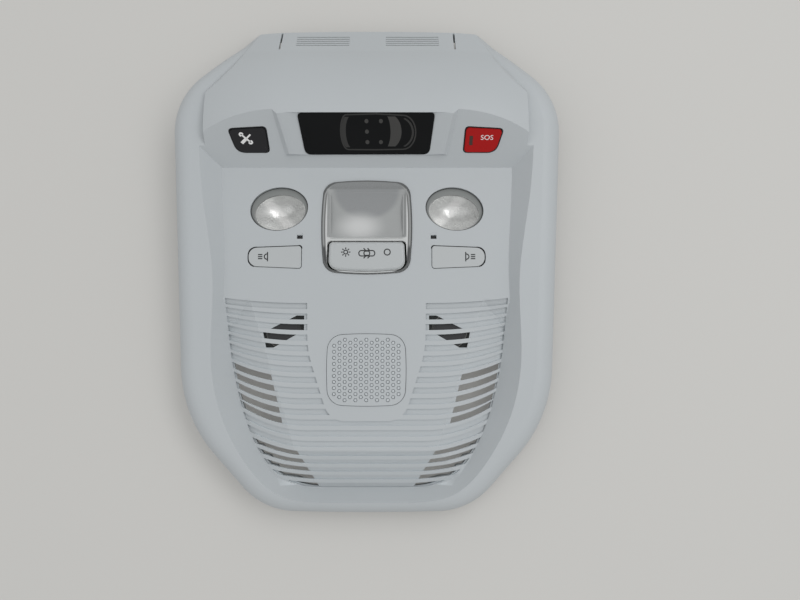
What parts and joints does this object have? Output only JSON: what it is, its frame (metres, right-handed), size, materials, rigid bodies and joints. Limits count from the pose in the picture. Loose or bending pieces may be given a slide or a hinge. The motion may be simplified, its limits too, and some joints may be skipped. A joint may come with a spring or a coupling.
{
  "type": "car dome light",
  "caption": "Overhead console dome light with a domed front, display, reading lamps, rocker switch, push buttons, perforated microphone grille and a louvred rear panel.",
  "frame": {"origin": "centre of the plan outline, on the plane of the back cover's flat back", "axes": "+X to the right as seen, +Y towards the windscreen end, +Z out of the visible face"},
  "size_m": [0.2338, 0.292, 0.0518],
  "materials": {
    "console_plastic": "fine satin grain",
    "button_grey": "smooth satin",
    "dome_lens_plastic": "frosted inside, polished rim",
    "lamp_lens_plastic": "clear, faceted behind",
    "display_black": "polished black",
    "button_black": "satin black",
    "button_red": "satin red",
    "indicator_dark": "tinted",
    "black_plastic": "moulded",
    "white_plastic": "moulded",
    "clear_plastic": "polished",
    "reflector_chrome": "vacuum plated",
    "board_green": "lacquered",
    "led_yellow": "cast resin",
    "felt_grey": "felt",
    "metal_can": "drawn",
    "zinc_steel": "zinc plated",
    "spring_steel": "phosphated",
    "contact_metal": "plated"
  },
  "bodies": {
    "console": {"bezel": "console_plastic", "microphone_grille": "console_plastic", "acoustic_felt": "felt_grey", "microphone_holder": "black_plastic", "microphone_capsule": "metal_can", "microphone_screws": "zinc_steel", "left_ultrasonic_sensor": "black_plastic", "right_ultrasonic_sensor": "black_plastic", "display_window": "display_black", "display_light_box": "white_plastic", "front_board": "board_green", "display_leds": "led_yellow", "call_switches": "black_plastic", "board_screws": "zinc_steel", "reading_switches": "black_plastic", "dome_lens": "dome_lens_plastic", "dome_reflector": "white_plastic", "slide_switch": "black_plastic", "left_lamp_lens": "lamp_lens_plastic", "right_lamp_lens": "lamp_lens_plastic", "left_reflector": "reflector_chrome", "right_reflector": "reflector_chrome", "left_light_guide": "clear_plastic", "right_light_guide": "clear_plastic", "lamp_carrier": "white_plastic", "circuit_board": "board_green", "lamp_leds": "led_yellow", "connector": "black_plastic", "connector_contacts": "contact_metal", "back_cover": "black_plastic", "module_screws": "zinc_steel", "spring_clips": "spring_steel"},
    "assistance": {"assistance_button": "button_black", "assistance_plunger": "white_plastic"},
    "emergency": {"emergency_button": "button_red", "emergency_indicator": "indicator_dark", "emergency_plunger": "white_plastic"},
    "left_reading": {"left_reading_button": "button_grey", "left_reading_plunger": "white_plastic"},
    "right_reading": {"right_reading_button": "button_grey", "right_reading_plunger": "white_plastic"},
    "dome_rocker": {"dome_switch": "button_grey"},
    "knob": {"slide_knob": "white_plastic"}
  },
  "joints": [
    {"name": "assistance_press", "type": "slide", "parent": "console", "child": "assistance", "axis": [0, 0.682, -0.7314], "range_m": [0, 0.001], "stiffness_N_per_m": 700, "springref_m": -0.0005},
    {"name": "emergency_press", "type": "slide", "parent": "console", "child": "emergency", "axis": [0, 0.682, -0.7314], "range_m": [0, 0.001], "stiffness_N_per_m": 700, "springref_m": -0.0005},
    {"name": "left_reading_press", "type": "slide", "parent": "console", "child": "left_reading", "axis": [0, 0, -1], "range_m": [0, 0.001], "stiffness_N_per_m": 700, "springref_m": -0.0005},
    {"name": "right_reading_press", "type": "slide", "parent": "console", "child": "right_reading", "axis": [0, 0, -1], "range_m": [0, 0.001], "stiffness_N_per_m": 700, "springref_m": -0.0005},
    {"name": "dome_rock", "type": "hinge", "parent": "console", "child": "dome_rocker", "pos_m": [0, 0.0035, 0.018], "axis": [0, 1, 0], "range_deg": [-6, 6]},
    {"name": "knob_slide", "type": "slide", "parent": "console", "child": "knob", "axis": [1, 0, 0], "range_m": [-0.00066, 0.00066]}
  ],
  "couplings": [
    {"joint": "knob_slide", "follows": "dome_rock", "m_per_rad": -0.0062}
  ]
}
